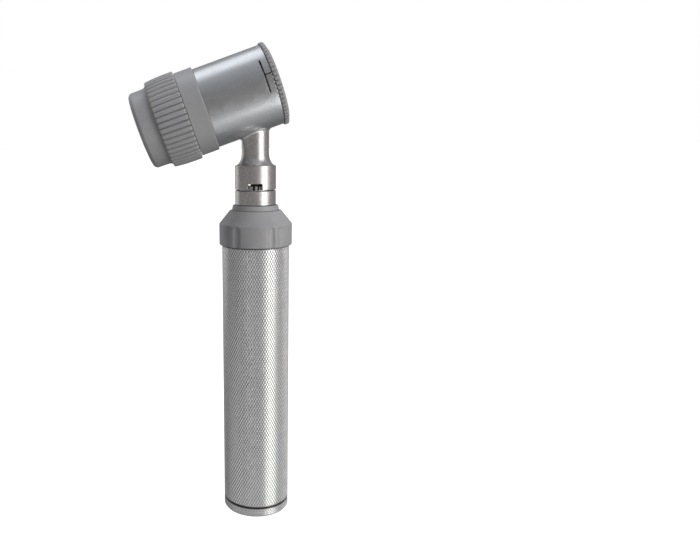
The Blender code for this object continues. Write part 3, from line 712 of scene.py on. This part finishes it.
def dimmer_collar():
    """Wall and cone of the brightness collar, with five pairs of thumb flutes pressed into the wall."""
    outline = [
        (8.3, DIMMER_TOP, 0.2), (10.6, DIMMER_TOP, 0.35),
        *spaced((11.2, 129.53), (14.55, 125.4), 0.3), (DIMMER_R, SHOULDER_Z, 0.35),
        *spaced((DIMMER_R, 124.2), (DIMMER_R, 121.8), 0.25),
        (DIMMER_R, DIMMER_FOOT, 0.45), (12.6, DIMMER_FOOT, 0.2), (12.6, 125.0), (8.3, 126.6),
    ]
    collar = lathe("dimmer_collar_fluted", outline, 400)

    def press(angle, radius, height):
        if radius < 13.2 or height < DIMMER_FOOT + 0.01:
            return radius, height
        bowl = flute_radius(angle, height)
        if bowl == NO_FLUTE:
            return radius, height
        share = clamped(0.5 + (bowl - radius) / (2 * FLUTE_SOFTNESS))
        blended = bowl + (radius - bowl) * share - FLUTE_SOFTNESS * share * (1 - share)
        return min(radius, blended), height

    reshape(collar, press)
    finish_piece(collar, "dimmer", GREY_ABS, ["dimmer_collar"], smooth=radians(40))


# ---------------------------------------------------------------- neck of the head

SOCKET_R = 8.45
SOCKET_FOOT = foot_of("head_neck") - 0.25
WINDOW_TOP = 141.3
WINDOW_START = radians(-117)
WINDOW_SWEEP = radians(42)
STEM_R = 5.6
STEM_TOP = 170.0
HEAD_R = 16.2


def saddle(across, along):
    """Height at which the head tube's underside stands over a point of the plan, in millimetres."""
    down = sqrt((HEAD_R + 0.02) ** 2 - across ** 2)
    return HEAD_CROSSING.z / MM + (along * sin(HEAD_TILT) - down) / cos(HEAD_TILT)


def cut_notch(piece, start, sweep, level, in_wall):
    """Cuts a notch up to a level through a turned wall, and closes its flat and its two ends."""
    corners = piece.data.vertices

    def inside(face):
        centre = face.center
        turn = (atan2(centre.y, centre.x) - start) % TURN
        return turn < sweep and in_wall(hypot(centre.x, centre.y) / MM, centre.z / MM)

    pick(piece, "FACE", inside)
    bpy.ops.mesh.delete(type="FACE")
    leave_edit()
    rim = open_edges(piece)

    def on_level(edge):
        heights = [corners[i].co.z - level * MM for i in edge.vertices]
        return edge.key in rim and all(abs(height) < 0.005 * MM for height in heights)

    pick(piece, "EDGE", on_level)
    bpy.ops.mesh.bridge_edge_loops()
    leave_edit()
    for side in (start, start + sweep):
        rim = open_edges(piece)

        def at_side(edge):
            turns = [atan2(corners[i].co.y, corners[i].co.x) - side for i in edge.vertices]
            return edge.key in rim and all(abs((turn + pi) % TURN - pi) < radians(0.5) for turn in turns)

        pick(piece, "EDGE", at_side)
        bpy.ops.mesh.edge_face_add()
        leave_edit()


def flare(steps=14):
    """Concave quarter wave from the socket's shoulder in to the stem."""
    foot, top = 148.5, 153.6
    curve = []
    for step in range(steps + 1):
        turn = pi / 2 * step / steps
        curve.append((SOCKET_R - (SOCKET_R - STEM_R) * cos(turn), top - (top - foot) * sin(turn)))
    return curve


def head_neck():
    """Socket, flare and stem turned in one, its stem fitted to the round of the head tube."""
    outline = [
        (3.9, STEM_TOP), (STEM_R + 0.62, STEM_TOP), (STEM_R + 0.6, STEM_TOP - 0.16),
        (STEM_R + 0.3, STEM_TOP - 0.32), (STEM_R + 0.1, STEM_TOP - 0.6), (STEM_R, STEM_TOP - 1.0),
        *flare(), (SOCKET_R, WINDOW_TOP), (SOCKET_R, SOCKET_FOOT, 0.3), (6.9, SOCKET_FOOT, 0.2),
        (6.9, 140.4, 0.1), (7.65, 140.4), (7.65, WINDOW_TOP), (7.65, 147.8), (3.9, 147.8),
    ]
    neck = lathe("head_neck_fitted", outline, 240)

    def fit(angle, radius, height):
        if height < 160:
            return radius, height
        above = saddle(radius * sin(angle), radius * cos(angle))
        return radius, above + height - STEM_TOP

    reshape(neck, fit)
    cut_notch(neck, WINDOW_START, WINDOW_SWEEP, WINDOW_TOP,
              lambda radius, height: height < WINDOW_TOP - 0.01)
    face_outwards(neck)
    bevel_corners(neck, 0.1, 50)
    finish_piece(neck, "head", SATIN_CHROME, ["head_neck"])


def socket_screw():
    """Grub screw with a hexagon socket, flush in the neck's wall."""
    node = "socket_grub_screw"
    low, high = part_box(node)
    middle = (low + high) / 2
    outwards = Vector((middle.x, middle.y, 0)).normalized()
    screw = lathe("socket_grub_screw_hex", [
        (0, 0.3), (0.9, 0.3, 0.1), (0.9, -0.3, 0.1), (0, -0.3),
    ], 48)
    pick(screw, "FACE", lambda face: face.center.z > 0.29 * MM)
    bpy.ops.mesh.dissolve_faces()
    bpy.ops.mesh.inset(thickness=0.4 * MM)
    bpy.ops.mesh.extrude_region_move(TRANSFORM_OT_translate={"value": (0, 0, -0.35 * MM)})
    leave_edit()
    settle(screw, Matrix.Translation(middle) @ outwards.to_track_quat("Z", "Y").to_matrix().to_4x4())
    finish_piece(screw, "head", NICKEL, [node])


# ---------------------------------------------------------------- bayonet on the handle

def sector(name, outline, start, sweep, steps):
    """A closed block of this section, swept about the handle's axis."""
    piece = draw_outline(name, rounded(outline))
    bpy.ops.mesh.edge_face_add()
    leave_edit()
    settle(piece, Matrix.Rotation(start, 4, "Z"))
    edit_whole(piece, "FACE")
    spin_selected(steps, -sweep)
    face_outwards(piece)
    return piece


def contact_spring():
    """Coil under the centre contact, copied from its part; it rides on the handle and keeps its shape when
    the contact is pressed.
    """
    node = "contact_pin_spring"
    coil = bpy.data.objects.new("contact_pin_spring_coil", frame["nodes"][node].data.copy())
    bpy.context.scene.collection.objects.link(coil)
    face_outwards(coil)
    finish_piece(coil, "handle", NICKEL, [node], weighted=False)
    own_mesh(coil)


# Notches in the base's rim: start and sweep in degrees, repeated at each third of a turn
RIM_NOTCHES = ((-134, 12), (-104, 8), (-88, 6))
RIM_FOOT, RIM_TOP = 138.6, 140.25
CLAW_START, CLAW_SWEEP = -132, 20


def bayonet():
    """Ring of the handle's bayonet with its notched rim, and the three claws above the rim."""
    base_foot = foot_of("bayonet_base")
    base = lathe("bayonet_base_turned", [
        (5.95, RIM_FOOT), (5.95, RIM_TOP), (6.6, RIM_TOP), (6.6, RIM_FOOT), (6.6, 138.35),
        (8.4, 138.35, 0.3), (8.4, base_foot, 0.3), (4.5, base_foot), (4.5, 138.0), (5.95, 138.0),
    ], 180)
    for third in range(3):
        for start, sweep in RIM_NOTCHES:
            cut_notch(base, radians(start + 120 * third), radians(sweep), RIM_FOOT,
                      lambda radius, height: radius < 6.7 and height > RIM_FOOT + 0.01)
    face_outwards(base)
    bevel_corners(base, 0.07, 60)
    finish_piece(base, "handle", SATIN_CHROME, ["bayonet_base"])
    for third in range(3):
        claw = sector(f"bayonet_claw_{third + 1}", [
            (6.0, 142.1), (7.5, 142.1), (7.5, 140.65), (6.65, 140.65), (6.65, 140.3), (6.0, 140.3),
        ], radians(CLAW_START + 120 * third), radians(CLAW_SWEEP), 10)
        end = radians(CLAW_START + CLAW_SWEEP + 120 * third)

        def lead_in(angle, radius, height):
            reach = max(0.0, 1 - ((end - angle) % TURN) / radians(8)) if radius > 7 else 0.0
            return radius - 0.95 * reach, height

        reshape(claw, lead_in)
        bevel_corners(claw, 0.08, 50)
        finish_piece(claw, "handle", NICKEL)


# ---------------------------------------------------------------- head tube

SPIGOT_R = 15.0
HEAD_BORE_R = 14.2
TUBE_REAR, TUBE_FRONT, SPIGOT_FRONT = 6.7, -21.3, -26.7
SLOT_LOW, SLOT_HIGH = 3.8 - 0.33, 3.8 + 0.33
SLOT_START, SLOT_SWEEP, SLIT_AT = radians(234), radians(48), radians(257)


def head_tube():
    """Lacquered tube with a T-shaped slot on each side, for the spring that keeps the eyepiece in."""
    tube = draw_outline("head_tube_lacquered", rounded([
        (HEAD_R - 0.3, TUBE_REAR), (HEAD_R - 0.09, TUBE_REAR - 0.09), (HEAD_R, TUBE_REAR - 0.3),
        (HEAD_R, SLOT_HIGH), (HEAD_R, SLOT_LOW), (HEAD_R, 1), (HEAD_R, -10), (HEAD_R, TUBE_FRONT + 0.12),
        (HEAD_R - 0.12, TUBE_FRONT), (SPIGOT_R, TUBE_FRONT), (SPIGOT_R, SPIGOT_FRONT),
    ]))
    spin_selected(240)
    face_outwards(tube)

    def in_slot(face):
        height = face.center.z / MM
        if height < SLOT_LOW:
            return False
        angle = atan2(face.center.y, face.center.x)
        for side in (0, pi):
            in_arc = (angle - SLOT_START - side) % TURN < SLOT_SWEEP and height < SLOT_HIGH
            in_slit = abs((angle - SLIT_AT - side + pi) % TURN - pi) < radians(0.9)
            if in_arc or in_slit:
                return True
        return False

    pick(tube, "FACE", in_slot)
    bpy.ops.mesh.delete(type="FACE")
    leave_edit()
    apply_modifier(tube, "SOLIDIFY", thickness=2.0 * MM, offset=-1, use_rim=True, use_even_offset=True)

    def true_bore(angle, radius, height):
        if radius > (SPIGOT_R + HEAD_BORE_R) / 2:
            return radius, height
        if height > TUBE_REAR - 0.4:
            height = TUBE_REAR
        if height < SPIGOT_FRONT + 0.5:
            height = SPIGOT_FRONT
        return HEAD_BORE_R, height

    reshape(tube, true_bore)
    merge_all(tube)
    bpy.ops.mesh.dissolve_degenerate(threshold=2 * MERGE_DISTANCE)
    leave_edit()
    face_outwards(tube)
    bevel_corners(tube, 0.12, 60)
    settle(tube, HEAD_PLACE)
    finish_piece(tube, "head", SILVER_LACQUER, ["head_tube"])


# ---------------------------------------------------------------- ribbed pieces of the head

RIBS = 48
TEETH = 56
STEPS_PER_GROOVE = 12


def groove(angle, count, sharpness):
    """How deep in one of count grooves this angle is: one at its floor, nothing on the round crests."""
    across = min(1.0, (1 - 2 * abs((angle * count / TURN + 0.5) % 1 - 0.5)) / 0.97)
    return 1 - sqrt(max(0.0, 1 - across ** sharpness))


def contact_cap():
    """Screw cap of the contact plate: ribbed band, concave fillet and a plain rounded nose."""
    rear, front, ribs_front = -28.92, -48.9, -42.2
    crest_r = 18.15
    turns = [pi / 2 * step / 8 for step in range(9)]
    outline = [
        (15.2, rear, 0.2), (crest_r, rear, 0.6), (crest_r, rear - 1.2),
        *spaced((crest_r, rear - 2), (crest_r, -34), 1.2),
        (crest_r - 0.08, -36.0), (crest_r - 0.22, -38.0), (crest_r - 0.42, -39.8),
        (crest_r - 0.55, -40.75, 0.3), (crest_r - 0.72, -40.95),
        *[(17.3 - 1.6 * sin(turn), -42.55 + 1.6 * cos(turn)) for turn in turns],
        (15.62, -44.5), (15.6, -47.4), (15.6, front, 1.85), (13.55, front, 0.25), (13.2, front + 0.35),
        (13.2, -45.3), (12.0, -45.3), (12.0, -43.6), (15.2, -40.4),
    ]
    cap = lathe("contact_cap_ribbed", outline, RIBS * STEPS_PER_GROOVE)

    def rib(angle, radius, height):
        if radius < 15.7 or height < ribs_front:
            return radius, height
        fade = clamped((height - ribs_front) / 1.1, (rear - height) / 0.25, (radius - 15.9) / 1.0)
        return radius - 1.05 * fade * groove(angle, RIBS, 2.0), height

    reshape(cap, rib)
    settle(cap, HEAD_PLACE)
    finish_piece(cap, "cap", GREY_ABS, ["contact_cap"], smooth=radians(40))


def focus_ring():
    """Toothed focusing ring of the eyepiece, with its sleeve inside the head tube."""
    crest, front, rear = 16.85, 6.78, 9.35
    outline = [
        (10.8, rear, 0.15), (13.9, rear, 0.4), *spaced((14.6, rear - 0.1), (crest, 8.45), 0.35),
        (crest, 8.3), (crest, 7.7), (crest, front, 0.3), (13.9, front, 0.1), (13.9, 0.0, 0.2),
        (12.4, 0.0, 0.1), (12.4, 8.1), (10.8, 8.1, 0.15),
    ]
    ring = lathe("focus_ring_toothed", outline, TEETH * STEPS_PER_GROOVE)

    def tooth(angle, radius, height):
        if radius < 14.3 or height < front - 0.01:
            return radius, height
        fade = clamped((radius - 15.2) / 1.2)
        return radius - 1.2 * fade * groove(angle, TEETH, 3.0), height

    reshape(ring, tooth)
    settle(ring, HEAD_PLACE)
    finish_piece(ring, "focus", GREY_ABS, ["focus_ring"], smooth=radians(40))


# ---------------------------------------------------------------- plain turned pieces

# Node: its body, finish and slot, whether it lies on the head's axis, and its outline
TURNED_PIECES = {
    "collar_retaining_ring": ("handle", GREY_ABS, "grey_plastic", False, [
        (8.3, 132.42, 0.1), (9.35, 132.42, 0.3), (9.75, 130.4, 0.1), (8.3, 130.4),
    ]),
    "bayonet_core": ("handle", ACETAL, "black_plastic", False, [
        (1.5, 143.6), (5.6, 143.6, 0.35), (5.6, 138.9, 0.1), (4.2, 138.9), (4.2, 132.8),
        (2.2, 132.8), (2.2, 142.4), (1.5, 142.4),
    ]),
    "front_collar": ("head", GREY_ABS, "grey_plastic", True, [
        (15.3, -21.36), (17.15, -21.36, 0.4), (17.15, -28.8, 0.25), (14.9, -28.8), (14.9, -37.0, 0.3),
        (13.6, -37.0, 0.1), (13.6, -27.0), (15.3, -27.0),
    ]),
    "contact_glass": ("cap", CONTACT_GLASS, "clear_glass", True, [
        (0, -46.2), (12.9, -46.2, 0.25), (12.9, -48.5, 0.25), (0, -48.5),
    ]),
    "lens_cell": ("lens", ANODISED, "black_plastic", True, [
        (9.6, 6.4, 0.2), (12.1, 6.4, 0.3), (12.1, 1.2, 0.2), (10.5, 1.2), (10.5, 5.8), (9.6, 5.8),
    ]),
    "eyepiece_lens": ("lens", LENS_GLASS, "clear_glass", True, [
        *[(9.3 * sin(pi / 2 * step / 16), 5.5 + 1.1 * cos(pi / 2 * step / 16) ** 2) for step in range(17)],
        (10.2, 5.5), (10.2, 4.1), (0, 4.1),
    ]),
    "lens_retainer": ("lens", ANODISED, "black_plastic", True, [
        (9.3, 3.5), (10.2, 3.5), (10.2, 2.2), (9.3, 2.2, 0.15),
    ]),
    "light_baffle": ("head", ANODISED, "black_plastic", True, [
        (6.8, -0.5), (13.9, -0.5), (13.9, -1.1), (7.3, -1.1), (7.3, -9.0), (6.8, -9.0),
    ]),
}


def turned_pieces():
    for node, (body, finish, slot, on_head, outline) in TURNED_PIECES.items():
        piece = lathe(f"{node}_turned", outline)
        if on_head:
            settle(piece, HEAD_PLACE)
        finish_piece(piece, body, finish, [node])


# ---------------------------------------------------------------- scale on the contact glass

GLASS_FRONT = -48.5
INK_THICKNESS = 0.02
TICK_WIDTH = 0.22
TICK_TOP, SHORT_TICK, LONG_TICK = 2.2, -0.4, -1.9
NUMERAL_HEIGHT = 1.8
NUMERAL_FOOT = -4.4
CAPITAL_SHARE = 0.7


def place_on_glass(piece):
    """Lays a flat piece, drawn in X and Y, on the outer face of the contact glass."""
    turn = Matrix(((0, -1, 0, 0), (-1, 0, 0, 0), (0, 0, -1, GLASS_FRONT * MM), (0, 0, 0, 1)))
    settle(piece, HEAD_PLACE @ turn)


def scale_ticks():
    """Eleven ticks one millimetre apart; the first, sixth and eleventh are long."""
    for index in range(11):
        foot = SHORT_TICK if index % 5 else LONG_TICK
        middle = ((index - 5) * MM, (TICK_TOP + foot) / 2 * MM, 0)
        start_clean()
        bpy.ops.mesh.primitive_plane_add(size=MM, location=middle)
        tick = bpy.context.object
        tick.name = f"scale_tick_{index:02d}"
        tick.scale = (TICK_WIDTH, TICK_TOP - foot, 1)
        settle(tick)
        edit_whole(tick, "FACE")
        bpy.ops.mesh.bevel(offset=0.04 * MM, segments=2, affect="VERTICES")
        bpy.ops.mesh.select_all(action="SELECT")
        bpy.ops.mesh.extrude_region_move(TRANSFORM_OT_translate={"value": (0, 0, INK_THICKNESS * MM)})
        face_outwards(tick)
        place_on_glass(tick)
        finish_piece(tick, "cap", INK, weighted=False)


def scale_numerals():
    """Numerals under the long ticks, standing on one line."""
    for number, across in ((1, -5), (5, 0), (10, 5)):
        start_clean()
        bpy.ops.object.text_add()
        text = bpy.context.object
        text.name = f"scale_numeral_{number}"
        text.data.body = str(number)
        text.data.align_x = "CENTER"
        text.data.size = NUMERAL_HEIGHT / CAPITAL_SHARE * MM
        text.data.extrude = INK_THICKNESS / 2 * MM
        text.location = (across * MM, NUMERAL_FOOT * MM, INK_THICKNESS / 2 * MM)
        bpy.ops.object.convert(target="MESH")
        text = bpy.context.object
        settle(text)
        face_outwards(text)
        place_on_glass(text)
        finish_piece(text, "cap", INK, weighted=False)


knurled_tube()
knurled_cap()
o_ring("end_cap_seal_moulded", "end_cap_seal", "end_cap_carrier", 0.35)
dimmer_collar()
head_neck()
socket_screw()
bayonet()
contact_spring()
head_tube()
contact_cap()
focus_ring()
turned_pieces()
o_ring("cap_seal_moulded", "cap_seal", "cap_carrier", 0.5, on_head_at=-38.6)
scale_ticks()
scale_numerals()


# ---------------------------------------------------------------- floor, light and camera

def studio_floor():
    """White ground that only the camera sees."""
    start_clean()
    bpy.ops.mesh.primitive_plane_add(size=30, location=(0, 0, 0))
    floor = bpy.context.object
    floor.name = "studio_floor"
    paper = new_finish("white_paper_sweep", "#F6F6F6", 0.9,
                       Emission_Color=(1, 1, 1, 1), Emission_Strength=0.85)[0]
    floor.data.materials.append(paper)
    floor.visible_glossy = False
    floor.visible_diffuse = False
    floor.visible_shadow = False


def soft_light(name, size, position, target, power, tone, sheen_only=False):
    """A rectangular softbox aimed at a target; a card for sheen only lights no matt surface."""
    start_clean()
    bpy.ops.object.light_add(type="AREA", location=position)
    lamp = bpy.context.object
    lamp.name = name
    lamp.data.shape = "RECTANGLE"
    lamp.data.size, lamp.data.size_y = size
    lamp.data.energy = power
    lamp.data.color = tone
    lamp.data.spread = pi
    lamp.visible_diffuse = not sheen_only
    aim = Vector(target) - Vector(position)
    lamp.rotation_mode = "QUATERNION"
    lamp.rotation_quaternion = aim.to_track_quat("-Z", "Y")


# Surroundings by height, from straight below to straight above
SURROUNDINGS = (
    (0.0, (0.50, 0.515, 0.52, 1)), (0.2, (0.46, 0.474, 0.48, 1)), (0.36, (0.268, 0.256, 0.256, 1)),
    (0.6, (0.225, 0.209, 0.208, 1)), (0.8, (0.28, 0.285, 0.3, 1)), (1.0, (0.50, 0.53, 0.57, 1)),
)


def studio_world():
    """White paper for the camera; soft grey surroundings for the object, darker for its matt surfaces."""
    world = bpy.data.worlds.new("studio")
    bpy.context.scene.world = world
    world.use_nodes = True
    tree = world.node_tree
    tree.nodes.clear()
    direction = add(tree, "ShaderNodeTexCoord").outputs["Generated"]
    split = add(tree, "ShaderNodeSeparateXYZ", {"Vector": direction}).outputs
    ramp = add(tree, "ShaderNodeValToRGB", {"Fac": share_of(tree, split["Z"], -1.0, 1.0)})
    stops = ramp.color_ramp.elements
    stops[0].position, stops[0].color = SURROUNDINGS[0]
    stops[1].position, stops[1].color = SURROUNDINGS[-1]
    for position, tone in SURROUNDINGS[1:-1]:
        stops.new(position).color = tone
    side = share_of(tree, split["X"], -1.0, 1.0, 1.0, 1.25)
    below = share_of(tree, split["Z"], -0.1, -0.5)
    behind = share_of(tree, split["Y"], -0.3, 0.6, 0.0, -0.7)
    strength = compute(tree, "MULTIPLY", side, compute(tree, "MULTIPLY_ADD", below, behind, 1.0))
    light_path = add(tree, "ShaderNodeLightPath").outputs
    lean = add(tree, "ShaderNodeVectorMath", {0: direction, 1: (0.2, 0, 0.9)}, operation="DOT_PRODUCT")
    dimmer = share_of(tree, lean.outputs["Value"], 0.3, -0.7, 0.0, -0.65)
    matt = compute(tree, "MULTIPLY_ADD", light_path["Is Diffuse Ray"], dimmer, 1.0)
    around = add(tree, "ShaderNodeBackground", {
        "Color": ramp.outputs["Color"], "Strength": compute(tree, "MULTIPLY", strength, matt),
    })
    paper = add(tree, "ShaderNodeBackground", {"Color": (1, 1, 1, 1), "Strength": 1.0})
    mix = add(tree, "ShaderNodeMixShader", {
        0: light_path["Is Camera Ray"], 1: around.outputs[0], 2: paper.outputs[0],
    })
    add(tree, "ShaderNodeOutputWorld", {"Surface": mix.outputs[0]})


def studio_light():
    warm, cool = (1, 0.99, 0.98), (0.92, 0.96, 1)
    soft_light("right_softbox", (0.55, 0.95), (0.67, -0.6, 0.3), (0, 0, 0.12), 4.7, warm)
    soft_light("right_sheen_card", (0.55, 0.55), (0.67, -0.6, -0.46), (0, 0, 0.02), 2.2, warm, True)
    soft_light("left_sheen_card", (1.0, 0.55), (-0.85, -0.12, -0.42), (0, 0, 0.03), 0.45, (1, 1, 1), True)
    soft_light("left_rear_softbox", (0.6, 0.9), (-0.66, 0.62, 0.3), (0, 0, 0.12), 1.0, (0.97, 0.98, 1))
    soft_light("overhead_box", (0.9, 0.45), (-0.05, 0.2, 0.85), (0, 0, 0.15), 1.75, cool)


def studio_camera():
    """A little under the head's height, tilted down so that both ends of the object are in view."""
    place = Vector((-22.07, -294.6, 158.2)) * MM
    yaw, pitch, roll = radians(1.59), radians(10.19), radians(-0.59)
    ahead = Vector((sin(yaw) * cos(pitch), cos(yaw) * cos(pitch), -sin(pitch)))
    right = Vector((cos(yaw), -sin(yaw), 0))
    up = right.cross(ahead)
    tilted_right = cos(roll) * right + sin(roll) * up
    tilted_up = cos(roll) * up - sin(roll) * right
    data = bpy.data.cameras.new("studio_camera")
    data.sensor_width = 36
    data.lens = 36.66
    data.shift_x, data.shift_y = 0.182, -0.0146
    data.clip_start, data.clip_end = 0.01, 50
    camera = bpy.data.objects.new("studio_camera", data)
    bpy.context.scene.collection.objects.link(camera)
    turn = Matrix((tilted_right, tilted_up, -ahead)).transposed().to_4x4()
    camera.matrix_world = Matrix.Translation(place) @ turn
    bpy.context.scene.camera = camera


studio_floor()
studio_world()
studio_light()
studio_camera()
bpy.context.scene.view_settings.view_transform = "Standard"
